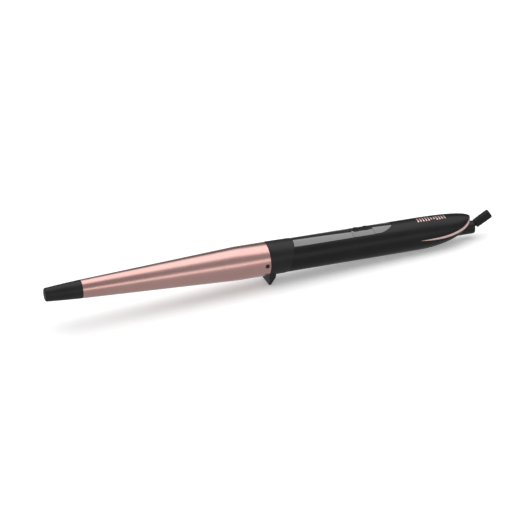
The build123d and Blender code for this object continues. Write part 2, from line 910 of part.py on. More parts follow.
guard_end = guard_start + guard_length
with BuildPart() as cord_guard:
    turned(
        (guard_start, neck_radius + snug),
        (guard_start, guard_radius - 0.4),
        (guard_start + 0.5, guard_radius),
        (guard_end - 0.7, guard_radius),
        (guard_end, guard_radius - 0.45),
        (guard_end, cord_radius),
        (neck_length + snug, cord_radius),
        (neck_length + snug, neck_radius + snug),
        plane=guard_side,
    )

# --------------------------------------------------------------- leads


def lead(*points):
    """An insulated wire along straight runs joined by arcs."""
    with BuildPart() as wire:
        with BuildLine() as route:
            FilletPolyline(*points, radius=lead_bend)
        with BuildSketch(Plane(origin=route.line @ 0, z_dir=route.line % 0)):
            Circle(lead_radius)
        sweep()
    return wire


def lead_to_board(start, y, height, drop_in):
    """A lead from the barrel that dips under the board and rises to a pad on it."""
    z = axis_height + height
    low = axis_height + board_height - 4.5
    return lead(
        (start, y, z),
        (barrel_end + 4, y, z),
        (barrel_end + 14, y, low),
        (board_start + drop_in, y, low),
        (board_start + drop_in, y, axis_height + board_height),
    )


heater_lead_live = lead_to_board(tab_rear + snug, lead_side, electrode_height, 4)
heater_lead_neutral = lead_to_board(fuse_rear + snug, -lead_side, -electrode_height, 4)
thermistor_lead = lead_to_board(thermistor_rear + snug, thermistor_side, thermistor_height, 6)


def mains_lead(ring_x, hand):
    """A lead from a brush's strip up and over the board's rear edge."""
    x = ring_x + ring_width / 2
    y = hand * (brush_wall_inner - brush_strip / 2)
    over = axis_height + board_top + 3.2
    pad_x = board_end - 3
    return lead(
        (x, y, axis_height + brush_tab_top + snug),
        (x, y, over),
        (pad_x, y, over),
        (pad_x, y, axis_height + board_top),
    )


mains_lead_live = mains_lead(ring_places[0], 1)
mains_lead_neutral = mains_lead(ring_places[1], -1)

# --------------------------------------------------------------- names and files

pieces = {
    "cool_tip": cool_tip,
    "tip_insulator": tip_insulator,
    "barrel": barrel,
    "barrel_screws": barrel_screws,
    "heater_shoe_upper": heater_shoe_upper,
    "heater_shoe_lower": heater_shoe_lower,
    "ptc_stones": ptc_stones,
    "electrode_upper": electrode_upper,
    "electrode_lower": electrode_lower,
    "insulating_sleeve": insulating_sleeve,
    "thermistor": thermistor,
    "thermal_fuse": thermal_fuse,
    "barrel_bush": barrel_bush,
    "collar_stand": collar_stand,
    "handle_upper": handle_upper,
    "handle_lower": handle_lower,
    "trim_band": trim_band,
    "panel_front": panel_front,
    "button_plate": button_plate,
    "panel_rear": panel_rear,
    "power_button": power_button,
    "temperature_button": temperature_button,
    "power_switch": power_switch,
    "temperature_switch": temperature_switch,
    "circuit_board": circuit_board,
    "control_chip": control_chip,
    "indicator_led": indicator_led,
    "triac": triac,
    "film_capacitor": film_capacitor,
    "board_fuse": board_fuse,
    "board_screws": board_screws,
    "shell_screws": shell_screws,
    "swivel_housing": swivel_housing,
    "swivel_barrel": swivel_barrel,
    "swivel_clip": swivel_clip,
    "swivel_cap": swivel_cap,
    "slip_ring_live": slip_ring_live,
    "slip_ring_neutral": slip_ring_neutral,
    "brush_holder": brush_holder,
    "brush_live": brush_live,
    "brush_neutral": brush_neutral,
    "guard_ball": guard_ball,
    "cord_guard": cord_guard,
    "heater_lead_live": heater_lead_live,
    "heater_lead_neutral": heater_lead_neutral,
    "thermistor_lead": thermistor_lead,
    "mains_lead_live": mains_lead_live,
    "mains_lead_neutral": mains_lead_neutral,
}

for name, piece in pieces.items():
    piece.part.label = name
    export_step(piece.part, f"parts/{name}.step")
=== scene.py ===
# %% [markdown]
# # A curling wand, finished around its CAD frame
# The CAD model already fixes the wand's parts, sizes and joints. This lesson gives it its looks.
# Most outside pieces get a mesh with softened edges, and every piece gets a finish made of nodes.
# Everything is in metres, in the frame of the CAD model: +X from the tip to the guard, +Z up.

# %% Load the frame
import json
from math import cos, pi, radians, sin, tan

import bmesh
import bpy
from mathutils import Matrix, Vector


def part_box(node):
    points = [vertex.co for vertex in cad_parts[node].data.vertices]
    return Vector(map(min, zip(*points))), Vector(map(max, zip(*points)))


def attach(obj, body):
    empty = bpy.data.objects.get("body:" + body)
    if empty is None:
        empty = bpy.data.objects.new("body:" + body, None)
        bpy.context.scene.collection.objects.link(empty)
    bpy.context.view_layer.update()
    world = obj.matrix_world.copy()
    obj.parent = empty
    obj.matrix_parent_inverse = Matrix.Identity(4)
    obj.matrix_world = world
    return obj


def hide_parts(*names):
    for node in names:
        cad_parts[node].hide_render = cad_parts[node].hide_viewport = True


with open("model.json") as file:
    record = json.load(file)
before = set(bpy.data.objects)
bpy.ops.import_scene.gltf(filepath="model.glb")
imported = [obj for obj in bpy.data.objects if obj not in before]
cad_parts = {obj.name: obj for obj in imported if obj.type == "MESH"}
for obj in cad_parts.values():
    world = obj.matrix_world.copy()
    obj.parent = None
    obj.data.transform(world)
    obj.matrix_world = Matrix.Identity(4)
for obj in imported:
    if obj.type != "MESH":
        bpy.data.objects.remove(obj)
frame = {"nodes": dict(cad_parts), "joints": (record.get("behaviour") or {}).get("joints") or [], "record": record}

scene = bpy.context.scene
nodes = frame["nodes"]
mm = 0.001
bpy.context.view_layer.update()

# %% [markdown]
# ## Where things are
# The frame tells where each node lies, so places are read from it instead of being typed in.
# A turned piece needs its ends along the axis, the axis's height and its radii.

# %% Read places from the frame


def span(node, axis):
    """The lowest and highest place of a node along one axis (0, 1 or 2)."""
    low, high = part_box(node)
    return low[axis], high[axis]


tip_seam, barrel_end = span("barrel", 0)
axis_height = sum(span("barrel", 2)) / 2
barrel_radius = span("barrel", 1)[1]
tip_end = span("cool_tip", 0)[0]
tip_radius = span("cool_tip", 1)[1]
handle_radius = span("handle_upper", 1)[1]
tail_start = span("trim_band", 0)[0]
print(f"barrel {(barrel_end - tip_seam) / mm:.1f} mm long, axis {axis_height / mm:.1f} mm up")

# %% [markdown]
# ## Sums on sockets
# A finish is mostly arithmetic: this much noise, minus that mask, times a strength. Wiring each
# Math node by hand hides the sum, so one small class lets Python's own signs add the nodes. A
# recipe holds one material's tree, and its node method makes any other kind of node.

# %% A socket that can be used in sums


class Wire:
    """A node's output, which adds Math nodes when it is used in a sum."""

    def __init__(self, recipe, socket):
        self.recipe = recipe
        self.socket = socket

    def sum(self, operation, first, second):
        return self.recipe.node("ShaderNodeMath", {"operation": operation}, {0: first, 1: second})

    def __add__(self, other):
        return self.sum("ADD", self, other)

    def __sub__(self, other):
        return self.sum("SUBTRACT", self, other)

    def __mul__(self, other):
        return self.sum("MULTIPLY", self, other)


class Recipe:
    """One material: its node tree, and ways to add to it."""

    def __init__(self, name):
        self.material = bpy.data.materials.new(name)
        self.material.use_nodes = True
        self.tree = self.material.node_tree
        self.shader = self.tree.nodes["Principled BSDF"]
        self.place = self.node("ShaderNodeTexCoord", {}, {}, "Object")

    def node(self, kind, settings, inputs, output=0):
        """Adds a node: its settings first, then the values or wires of its sockets."""
        made = self.tree.nodes.new(kind)
        for setting, value in settings.items():
            setattr(made, setting, value)
        for socket, value in inputs.items():
            self.feed(made.inputs[socket], value)
        return Wire(self, made.outputs[output])

    def feed(self, socket, value):
        """Links a wire to a socket, or sets the socket's own value."""
        if isinstance(value, Wire):
            self.tree.links.new(value.socket, socket)
        elif socket.type == "RGBA":
            socket.default_value = (*value, 1)
        else:
            socket.default_value = value

    def set(self, **inputs):
        """Feeds the shader's own sockets, named with _ for a space."""
        for name, value in inputs.items():
            self.feed(self.shader.inputs[name.replace("_", " ")], value)

    def stretched(self, x):
        """The place on the object, scaled along X: below 1, a pattern is drawn out along it."""
        return self.node("ShaderNodeMapping", {}, {"Vector": self.place, "Scale": (x, 1.0, 1.0)})

    def noise(self, size, detail=3.0, place=None):
        """Noise from 0 to 1 whose blobs are about a size across, in metres."""
        inputs = {"Vector": place or self.place, "Scale": 1 / size, "Detail": detail}
        return self.node("ShaderNodeTexNoise", {}, inputs, "Fac")

    def steps(self, value, low, high):
        """A value's stretch from low to high, spread over 0 to 1."""
        inputs = {"Value": value, "From Min": low, "From Max": high}
        return self.node("ShaderNodeMapRange", {}, inputs)

    def mix(self, factor, first, second):
        """A colour between two."""
        return self.node(
            "ShaderNodeMix", {"data_type": "RGBA"}, {0: factor, 6: first, 7: second}, 2
        )

    def bump(self, height, strength, depth):
        """A normal from a height of 0 to 1 that stands for a depth in metres."""
        inputs = {"Height": height, "Strength": strength, "Distance": depth}
        return self.node("ShaderNodeBump", {}, inputs)


# %% [markdown]
# ## Finishes for the outside
# The barrel is aluminium with a satin rose-gold coat. Fine brushing runs along it, so its noise
# is stretched along X, and a few longer scratches shine through it. The tone drifts slowly, so
# that no large stretch is quite even. A clear satin coat on top pales the brightest line, as
# lacquer does. The trim takes the same finish, paler and less metallic.

# %% Rose gold


def rose_gold(name, light, deep, roughness, metallic=1.0):
    """A satin metal coat, brushed along the wand."""
    r = Recipe(name)
    brushing = r.noise(0.25 * mm, 4, r.stretched(x=0.03))
    drift = r.noise(30 * mm, 2)
    scratches = r.steps(r.noise(0.5 * mm, 6, r.stretched(x=0.012)), 0.62, 0.72)
    r.set(
        Base_Color=r.mix(r.steps(drift * 0.7 + brushing * 0.3, 0.35, 0.65), deep, light),
        Metallic=metallic,
        Roughness=brushing * 0.10 + drift * 0.06 - scratches * 0.05 + (roughness - 0.08),
        Normal=r.bump(brushing + scratches * 0.4, 0.12, 0.006 * mm),
    )
    r.set(Coat_Weight=1.0, Coat_Roughness=0.3, Coat_IOR=1.9)
    return r.material


finish = {
    "rose_gold_coat": rose_gold("rose_gold_coat", (0.76, 0.43, 0.39), (0.71, 0.38, 0.345), 0.30),
    "rose_gold_trim": rose_gold("rose_gold_trim", (0.97, 0.66, 0.63), (0.90, 0.58, 0.55), 0.26, 0.5),
}
print("rose gold in two strengths")

# %% [markdown]
# ## Black plastics
# Four black plastics meet on the wand, and they differ only in how they scatter light. The tip
# and the collar are a heat-proof nylon with a spark-eroded grain. The handle has a soft-touch
# coat with a finer grain, rubbed smoother where a palm holds it. The guard is rubber, and the
# swivel is a smoother nylon. One function makes all four from the size and depth of their grain.

# %% Grained plastics


def grained(name, dark, light, grain, depth, roughness, rubbed=0.0, specular=0.5):
    """A matt plastic: fine grain, slow tone drift, and places rubbed smoother by use."""
    r = Recipe(name)
    fine = r.noise(grain * mm, 5)
    drift = r.noise(14 * mm, 3)
    handled = r.steps(r.noise(35 * mm, 2), 0.45, 0.75)
    dust = r.steps(r.noise(0.9 * mm, 8), 0.66, 0.80)
    tone = r.steps(drift * 0.6 + fine * 0.4, 0.3, 0.7)
    r.set(
        Base_Color=r.mix(tone * 0.85 + dust * 0.15, dark, light),
        Roughness=fine * 0.10 + drift * 0.06 - handled * rubbed + dust * 0.05 + (roughness - 0.07),
        Normal=r.bump(fine, 0.35, depth * mm),
    )
    r.set(Specular_IOR_Level=specular)
    return r.material


finish["heatproof_plastic"] = grained(
    "heatproof_plastic", (0.008, 0.008, 0.009), (0.016, 0.016, 0.017), 0.22, 0.03, 0.44, specular=0.35
)
finish["soft_touch"] = grained(
    "soft_touch", (0.003, 0.003, 0.0035), (0.007, 0.007, 0.008), 0.14, 0.02, 0.42, 0.08, specular=0.36
)
finish["guard_rubber"] = grained(
    "guard_rubber", (0.005, 0.005, 0.005), (0.012, 0.012, 0.013), 0.30, 0.03, 0.55, specular=0.3
)
finish["swivel_nylon"] = grained(
    "swivel_nylon", (0.005, 0.005, 0.006), (0.010, 0.010, 0.011), 0.18, 0.01, 0.38, specular=0.35
)
print("four grained plastics")

# %% [markdown]
# The panel and its buttons are gloss plastic. Gloss is never quite even: it carries faint finger
# marks and a little dust, and moulded gloss is slightly wavy. A clear coat on top gives the
# sharp reflection. The buttons take little of that coat, so they stay dark.

# %% Gloss plastic


def gloss(name, dark, light, roughness, marks, coat=1.0):
    """A polished black plastic with finger marks and fine dust."""
    r = Recipe(name)
    smears = r.steps(r.noise(7 * mm, 4, r.stretched(x=0.5)), 0.48, 0.72)
    dust = r.steps(r.noise(0.5 * mm, 8), 0.70, 0.80)
    waves = r.noise(9 * mm, 1)
    r.set(
        Base_Color=r.mix(dust * 0.5 + smears * 0.2, dark, light),
        Roughness=smears * marks + dust * 0.12 + roughness,
        Normal=r.bump(waves + dust * 0.02, 0.25, 0.02 * mm),
    )
    r.set(Coat_Weight=coat, Coat_Roughness=0.05, Coat_IOR=2.15)
    return r.material


finish["gloss_panel"] = gloss("gloss_panel", (0.016, 0.016, 0.018), (0.05, 0.05, 0.052), 0.10, 0.07)
finish["button_cap"] = gloss("button_cap", (0.004, 0.004, 0.005), (0.012, 0.012, 0.013), 0.30, 0.08, 0.12)
print("gloss for the panel and the buttons")

# %% [markdown]
# ## Finishes for the inside
# Nothing inside shows until the wand is taken apart, but each piece still gets its own stuff:
# metals with fine tooling lines, ceramics with specks, leads with a slightly uneven sheath. One
# function takes two tones, a grain and a shine, and a table says which slot gets what.

# %% A finish for each inside piece


def plain_stuff(name, dark, light, grain, depth, roughness, metallic=0.0, along=1.0, coat=0.0):
    """Two tones in a grain, stretched along X where along is below 1."""
    r = Recipe(name)
    fine = r.noise(grain * mm, 5, r.stretched(x=along))
    drift = r.noise(6 * mm, 3)
    specks = r.steps(r.noise(grain * 3 * mm, 6), 0.64, 0.76)
    r.set(
        Base_Color=r.mix(fine * 0.5 + drift * 0.4 + specks * 0.1, dark, light),
        Metallic=metallic,
        Roughness=fine * 0.14 + drift * 0.08 + specks * 0.05 + (roughness - 0.1),
        Normal=r.bump(fine, 0.3, depth * mm),
    )
    r.set(Coat_Weight=coat, Coat_Roughness=0.1)
    return r.material


inside_stuff = {
    "shoe_aluminium": ((0.60, 0.61, 0.63), (0.82, 0.83, 0.85), 0.20, 0.010, 0.35, 1.0, 0.04),
    "dark_screw": ((0.045, 0.042, 0.042), (0.12, 0.115, 0.11), 0.10, 0.006, 0.34, 1.0),
    "steel_screw": ((0.46, 0.46, 0.48), (0.66, 0.66, 0.67), 0.12, 0.006, 0.30, 1.0),
    "heater_ceramic": ((0.13, 0.13, 0.14), (0.26, 0.26, 0.27), 0.15, 0.020, 0.75),
    "insulator_ceramic": ((0.72, 0.69, 0.62), (0.90, 0.88, 0.83), 0.20, 0.015, 0.60),
    "amber_film": ((0.60, 0.27, 0.03), (0.80, 0.44, 0.09), 0.50, 0.010, 0.18, 0.0, 1.0, 1.0),
    "phenolic": ((0.11, 0.055, 0.03), (0.22, 0.125, 0.07), 0.30, 0.020, 0.50),
    "fibreglass": ((0.020, 0.16, 0.055), (0.05, 0.27, 0.11), 0.25, 0.008, 0.30, 0.0, 1.0, 0.6),
    "component_black": ((0.025, 0.025, 0.026), (0.055, 0.055, 0.056), 0.15, 0.015, 0.55),
    "capacitor_case": ((0.60, 0.40, 0.07), (0.80, 0.58, 0.15), 0.40, 0.010, 0.25, 0.0, 1.0, 0.6),
    "contact_brass": ((0.62, 0.44, 0.17), (0.86, 0.68, 0.34), 0.18, 0.008, 0.26, 1.0, 0.1),
    "lead_brown": ((0.15, 0.055, 0.025), (0.27, 0.11, 0.05), 0.30, 0.015, 0.45),
    "lead_blue": ((0.03, 0.08, 0.36), (0.07, 0.15, 0.52), 0.30, 0.015, 0.45),
    "lead_white": ((0.68, 0.68, 0.65), (0.86, 0.86, 0.84), 0.30, 0.015, 0.45),
}
for slot, values in inside_stuff.items():
    finish[slot] = plain_stuff(slot, *values)

# %% [markdown]
# Glass is the one clear material, in the thermistor, the fuse and the lamp. Its transmission is
# even, so it is a plain value, and only its roughness and tint vary.

# %% Glass


def component_glass():
    """Slightly green glass with a faint haze."""
    r = Recipe("component_glass")
    haze = r.noise(1.5 * mm, 4)
    r.set(
        Base_Color=r.mix(haze, (0.78, 0.86, 0.82), (0.90, 0.95, 0.93)),
        Roughness=haze * 0.10 + 0.02,
        Normal=r.bump(haze, 0.1, 0.01 * mm),
    )
    r.set(Transmission_Weight=0.7, IOR=1.5)
    return r.material


finish["component_glass"] = component_glass()

slot_of = {part["node"]: part["material_slot"] for part in frame["record"]["subparts"]}
for node, slot in slot_of.items():
    nodes[node].data.materials.clear()
    nodes[node].data.materials.append(finish[slot])
print(len(finish), "finishes on", len(slot_of), "nodes")

# %% [markdown]
# ## Soft edges on the moulded pieces
# The CAD shapes are right, but their edges are knife-sharp, and a moulded edge always catches a
# thin line of light. A CAD node's mesh is never changed, so each such piece is a copy: its loose
# triangles are joined, its flat faces merged, and a bevel rounds every edge sharper than a given
# corner. The copy stands for the node and rides on the same body.

# %% Copies with rounded edges
bodies = frame["record"]["behaviour"]["bodies"]
body_of = {node: body for body, members in bodies.items() for node in members}


def stand_for(piece, node):
    """Lets a finished piece replace a CAD node, with the node's body, slot and finish."""
    piece.data.materials.clear()
    piece.data.materials.append(finish[slot_of[node]])
    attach(piece, body_of[node])
    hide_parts(node)


def shaded(mesh, corner=radians(32)):
    """Smooth shading, with a crease where faces meet more sharply than a corner."""
    mesh.shade_smooth()
    mesh.set_sharp_from_angle(angle=corner)


def settled(piece):
    """The piece as a plain mesh, with its modifiers worked in and its faces outwards."""
    view = bpy.context.evaluated_depsgraph_get()
    mesh = bpy.data.meshes.new_from_object(piece.evaluated_get(view))
    piece.modifiers.clear()
    old = piece.data
    piece.data = mesh
    bpy.data.meshes.remove(old)
    work = bmesh.new()
    work.from_mesh(mesh)
    bmesh.ops.remove_doubles(work, verts=work.verts, dist=0.001 * mm)
    bmesh.ops.recalc_face_normals(work, faces=work.faces)
    work.to_mesh(mesh)
    work.free()
    shaded(mesh)
    return piece


def softened(node, rounding, corner=radians(35)):
    """A copy of a CAD node whose edges are rounded by a radius in millimetres."""
    mesh = nodes[node].data.copy()
    work = bmesh.new()
    work.from_mesh(mesh)
    bmesh.ops.remove_doubles(work, verts=work.verts, dist=0.0001 * mm)
    bmesh.ops.dissolve_degenerate(work, edges=work.edges, dist=0.04 * mm)
    bmesh.ops.dissolve_limit(work, verts=work.verts, edges=work.edges, angle_limit=radians(0.3))
    work.to_mesh(mesh)
    work.free()
    if "custom_normal" in mesh.attributes:
        mesh.attributes.remove(mesh.attributes["custom_normal"])
    piece = bpy.data.objects.new(node + "_moulded", mesh)
    scene.collection.objects.link(piece)
    bevel = piece.modifiers.new("rounding", "BEVEL")
    bevel.width = rounding * mm
    bevel.segments = 3
    bevel.limit_method = "ANGLE"
    bevel.angle_limit = corner
    settled(piece)
    stand_for(piece, node)
    return piece


roundings = {
    "collar_stand": 0.25,
    "handle_upper": 0.14,
    "handle_lower": 0.14,
    "trim_band": 0.12,
    "panel_front": 0.32,
    "button_plate": 0.10,
    "panel_rear": 0.32,
    "barrel_screws": 0.06,
    "swivel_cap": 0.20,
}
for node, rounding in roundings.items():
    piece = softened(node, rounding)
    print(node, "rounded by", rounding, "mm:", len(piece.data.polygons), "faces")

# %% [markdown]
# ## Turned pieces
# The barrel, the tip, the buttons and the guard are round about an axis, as if turned on a
# lathe. Their shape is a rule, so Geometry Nodes make it: the tree takes an outline drawn as
# edges, lays it along a tiny circle and sweeps it round. Python only draws the outline, with its
# corners turned into arcs.

# %% The lathe tree


def tree_socket(tree, name, kind, value=None):
    """A named input of a tree, with a value to start from."""
    socket = tree.interface.new_socket(name, in_out="INPUT", socket_type=kind)
    if value is not None:
        socket.default_value = value
    return socket.identifier


class Tree:
    """A Geometry Nodes tree, and ways to add to it."""

    def __init__(self, name):
        self.tree = bpy.data.node_groups.new(name, "GeometryNodeTree")
        self.start = tree_socket(self.tree, "Geometry", "NodeSocketGeometry")
        self.tree.interface.new_socket("Geometry", in_out="OUTPUT", socket_type="NodeSocketGeometry")
        self.inputs = {}

    def input(self, name, kind, value=None):
        self.inputs[name] = tree_socket(self.tree, name, kind, value)

    def given(self, name):
        """The wire of a named input."""
        if not hasattr(self, "source"):
            self.source = self.tree.nodes.new("NodeGroupInput")
        return self.source.outputs[name]

    def node(self, kind, settings, inputs, output=0):
        """Adds a node: its settings, then the values or wires of its sockets."""
        made = self.tree.nodes.new(kind)
        for setting, value in settings.items():
            setattr(made, setting, value)
        for socket, value in inputs.items():
            if isinstance(value, bpy.types.NodeSocket):
                self.tree.links.new(value, made.inputs[socket])
            else:
                made.inputs[socket].default_value = value
        return made.outputs[output]

    def finish(self, geometry):
        """Ends the tree: real geometry with the given material."""
        real = self.node("GeometryNodeRealizeInstances", {}, {0: geometry})
        painted = self.node(
            "GeometryNodeSetMaterial", {}, {"Geometry": real, "Material": self.given("Material")}
        )
        self.tree.links.new(painted, self.tree.nodes.new("NodeGroupOutput").inputs[0])

    def run(self, piece, **values):
        """Puts the tree on a piece with these inputs, and settles the piece."""
        modifier = piece.modifiers.new(self.tree.name, "NODES")
        modifier.node_group = self.tree
        for name, value in values.items():
            modifier[self.inputs[name]] = value
        return settled(piece)


lathe = Tree("lathe")
lathe.input("Facets", "NodeSocketInt", 160)
lathe.input("Material", "NodeSocketMaterial")
outline_curve = lathe.node("GeometryNodeMeshToCurve", {}, {0: lathe.given("Geometry")})
place = lathe.node("GeometryNodeInputPosition", {}, {})
parts = lathe.node("ShaderNodeSeparateXYZ", {}, {0: place}).node
back_along = lathe.node("ShaderNodeMath", {"operation": "MULTIPLY"}, {0: parts.outputs[0], 1: -1.0})
laid = lathe.node("ShaderNodeCombineXYZ", {}, {0: parts.outputs[1], 1: back_along})
profile = lathe.node("GeometryNodeSetPosition", {}, {"Geometry": outline_curve, "Position": laid})
hub = lathe.node(
    "GeometryNodeCurvePrimitiveCircle", {}, {"Resolution": lathe.given("Facets"), "Radius": 1e-7}
)
swept = lathe.node("GeometryNodeCurveToMesh", {}, {"Curve": hub, "Profile Curve": profile})
lathe.finish(swept)
print("the lathe tree has", len(lathe.tree.nodes), "nodes")

# %% [markdown]
# The outline is a list of corners, each with the radius it is rounded by. A corner of radius r
# between two lines that meet at an angle has its arc's centre r / sin(half the angle) away, on
# the line that halves the angle. A closed outline makes a tube, an open one starts and ends on
# the axis and makes a solid form.

# %% Outlines


def rounded(corners, closed, arc_steps=5):
    """The outline through (along, radius, rounding) corners in millimetres, as points."""
    points = []
    for i, (along, radius, rounding) in enumerate(corners):
        here = Vector((along, radius))
        if rounding == 0 or (not closed and i in (0, len(corners) - 1)):
            points.append(here)
            continue
        before = (Vector(corners[i - 1][:2]) - here).normalized()
        after = (Vector(corners[(i + 1) % len(corners)][:2]) - here).normalized()
        half_angle = before.angle(after) / 2
        centre = here + (before + after).normalized() * rounding / sin(half_angle)
        first = here + before * rounding / tan(half_angle) - centre
        last = here + after * rounding / tan(half_angle) - centre
        for step in range(arc_steps + 1):
            share = step / arc_steps
            points.append(centre + (first * (1 - share) + last * share).normalized() * rounding)
    return points


def turned(node, corners, origin, axis, closed=False, facets=160):
    """A piece turned about an axis, named and finished after a CAD node."""
    points = rounded(corners, closed)
    count = len(points)
    edges = [(i, i + 1) for i in range(count - 1)]
    if closed:
        edges.append((count - 1, 0))
    mesh = bpy.data.meshes.new(node)
    mesh.from_pydata([(along * mm, radius * mm, 0) for along, radius in points], edges, [])
    piece = bpy.data.objects.new(node + "_turned", mesh)
    scene.collection.objects.link(piece)
    lathe.run(piece, Facets=facets, Material=finish[slot_of[node]])
    spin = Vector((0, 0, 1)).rotation_difference(axis).to_matrix().to_4x4()
    piece.data.transform(Matrix.Translation(origin) @ spin)
    print(node, "turned:", len(piece.data.polygons), "faces")
    return piece


# %% [markdown]
# The barrel is a thin tube with a long taper and a short straight stretch beside the collar.
# Both rims are rolled, which gives the bright line at each end. Two holes for the screws are cut
# across it, so it can't be left as it comes off the lathe.

# %% Barrel
along_x = Vector((1, 0, 0))
on_axis = Vector((0, 0, axis_height))
barrel_straight = 23.0
barrel_wall = 0.8
seam, rear = tip_seam / mm, barrel_end / mm
small, large = tip_radius / mm, barrel_radius / mm
straight_start = rear - barrel_straight
barrel = turned(
    "barrel",
    [
        (seam, small, 0.25),
        (straight_start, large, 120.0),
        (rear, large, 0.35),
        (rear, large - barrel_wall, 0.25),
        (straight_start, large - barrel_wall, 0),
        (seam, small - barrel_wall, 0.25),
    ],
    on_axis,
    along_x,
    closed=True,
    facets=192,
)


def drilled(piece, place, radius, reach):
    """Drills a round hole across a piece, along Y."""
    drill_mesh = bpy.data.meshes.new("drill")
    tool = bmesh.new()
    bmesh.ops.create_cone(
        tool, cap_ends=True, segments=48, radius1=radius, radius2=radius, depth=reach
    )
    tool.to_mesh(drill_mesh)
    tool.free()
    drill_mesh.transform(Matrix.Translation(place) @ Matrix.Rotation(pi / 2, 4, "X"))
    drill = bpy.data.objects.new("drill", drill_mesh)
    scene.collection.objects.link(drill)
    cut = piece.modifiers.new("hole", "BOOLEAN")
    cut.object = drill
    cut.operation = "DIFFERENCE"
    cut.solver = "EXACT"
    settled(piece)
    bpy.data.objects.remove(drill)


screw_x = sum(span("barrel_screws", 0)) / 2
screw_radius = (span("barrel_screws", 0)[1] - span("barrel_screws", 0)[0]) / 2
drilled(barrel, Vector((screw_x, 0, axis_height)), screw_radius + 0.08 * mm, 4 * barrel_radius)
stand_for(barrel, "barrel")
print("barrel drilled:", len(barrel.data.polygons), "faces")

# %% [markdown]
# The cool tip carries the barrel's taper on, a little fuller in the middle, and closes with a
# rounded end. A shallow step at its rear seats it in the barrel.

# %% Cool tip
front = tip_end / mm
middle_x = front + 0.55 * (seam - front)
fullness = 0.12
tip_front_radius = 4.9
middle_radius = tip_front_radius + 0.55 * (small - tip_front_radius) + fullness
spigot_rear = span("cool_tip", 0)[1] / mm
cool_tip = turned(
    "cool_tip",
    [
        (front, 0, 0),
        (front, tip_front_radius, 1.3),
        (middle_x, middle_radius, 60.0),
        (seam - 0.15, small, 0.2),
        (seam - 0.15, small - 0.9, 0),
        (spigot_rear, small - 0.6, 0.2),
        (spigot_rear, small - 2.4, 0.2),
        (front + 3.2, tip_front_radius - 1.6, 0.6),
        (front + 3.2, 0, 0),
    ],
    on_axis,
    along_x,
    facets=144,
)
stand_for(cool_tip, "cool_tip")

# %% [markdown]
# A button is a cap with a dished top inside a thin rim, a flange and a stem over its switch. The
# dish is what a finger finds without looking. Known fault: the flange is drawn 0.85 mm higher
# than the CAD button's, so it crosses the underside of the plate, where it can't be seen.

# %% Buttons
up = Vector((0, 0, 1))
flange_depth = 2.27
for node in ("power_button", "temperature_button"):
    low, top = (height / mm for height in span(node, 2))
    x = sum(span(node, 0)) / 2
    flange = (span(node, 0)[1] - span(node, 0)[0]) / 2 / mm
    cap_radius = flange - 0.45
    flange_low = top - flange_depth
    button = turned(
        node,
        [
            (low, 0, 0),
            (low, 1.2, 0.15),
            (flange_low, 1.2, 0.1),
            (flange_low, flange, 0.15),
            (flange_low + 0.8, flange, 0.15),
            (flange_low + 0.8, cap_radius, 0.1),
            (top, cap_radius, 0.28),
            (top, cap_radius - 0.62, 0.12),
            (top - 0.22, cap_radius - 0.80, 0.15),
            (top - 0.40, 0, 0),
        ],
        Vector((x, 0, 0)),
        up,
        facets=96,
    )
    stand_for(button, node)

# %% [markdown]
# The cord guard is a rubber sleeve on the ball's neck. Its rear face slopes towards the ball at
# the rim, to leave less light between guard and swivel. A fine step ends the cuff, a groove marks
# where the mould closes, and the mouth is rounded. Its axis is the bore mount's axis.

# %% Cord guard
bore = next(mount for mount in frame["record"]["mounts"] if mount["name"] == "cord_bore")
tilt = next(joint for joint in frame["joints"] if joint["name"] == "guard_tilt")
guard_axis = Vector(bore["axis"])
ball_centre = Vector(tilt["pos_m"])

guard_radius = 3.575
cuff_radius = guard_radius - 0.12
groove_radius = guard_radius - 0.18
neck_hole = 1.98
mouth = bore["dims"]["r_mm"]
guard = turned(
    "cord_guard",
    [
        (5.3, neck_hole, 0),
        (4.75, cuff_radius, 0.25),
        (7.7, cuff_radius, 0.10),
        (7.9, guard_radius, 0.10),
        (9.3, guard_radius, 0.10),
        (9.45, groove_radius, 0.05),
        (9.75, groove_radius, 0.05),
        (9.9, guard_radius, 0.10),
        (18.5, guard_radius, 0.65),
        (18.5, mouth, 0.12),
        (8.1, mouth, 0),
        (8.1, neck_hole, 0),
    ],
    ball_centre,
    guard_axis,
    closed=True,
    facets=96,
)
stand_for(guard, "cord_guard")

# %% [markdown]
# ## A mark on the tail
# A wand like this carries a printed mark near its tail. This one is only an ornament: a row of
# slim bars whose lengths rise and fall. Geometry Nodes suit it, because the bars repeat and have
# to lie on a curved surface: a line of points gets one bar each, a fixed seed varies them, and a
# ray dropped from each corner of each bar finds the handle below it.

# %% The ornament tree
ornament = Tree("ornament")
ornament.input("Count", "NodeSocketInt", 14)
ornament.input("Start", "NodeSocketVector")
ornament.input("Step", "NodeSocketVector")
ornament.input("Bar", "NodeSocketVector")
ornament.input("Seed", "NodeSocketInt", 3)
ornament.input("Stand", "NodeSocketFloat", 0.05 * mm)
ornament.input("Handle", "NodeSocketObject")
ornament.input("Material", "NodeSocketMaterial")
line = ornament.node(
    "GeometryNodeMeshLine",
    {"mode": "OFFSET"},
    {
        "Count": ornament.given("Count"),
        "Start Location": ornament.given("Start"),
        "Offset": ornament.given("Step"),
    },
)
bar = ornament.node(
    "GeometryNodeMeshCube",
    {},
    {"Size": ornament.given("Bar"), "Vertices X": 4, "Vertices Y": 14, "Vertices Z": 2},
)
lengths = ornament.node(
    "FunctionNodeRandomValue",
    {"data_type": "FLOAT"},
    {2: 0.45, 3: 1.0, "Seed": ornament.given("Seed")},
    1,
)
scale = ornament.node("ShaderNodeCombineXYZ", {}, {0: 1.0, 1: lengths, 2: 1.0})
placed = ornament.node(
    "GeometryNodeInstanceOnPoints", {}, {"Points": line, "Instance": bar, "Scale": scale}
)
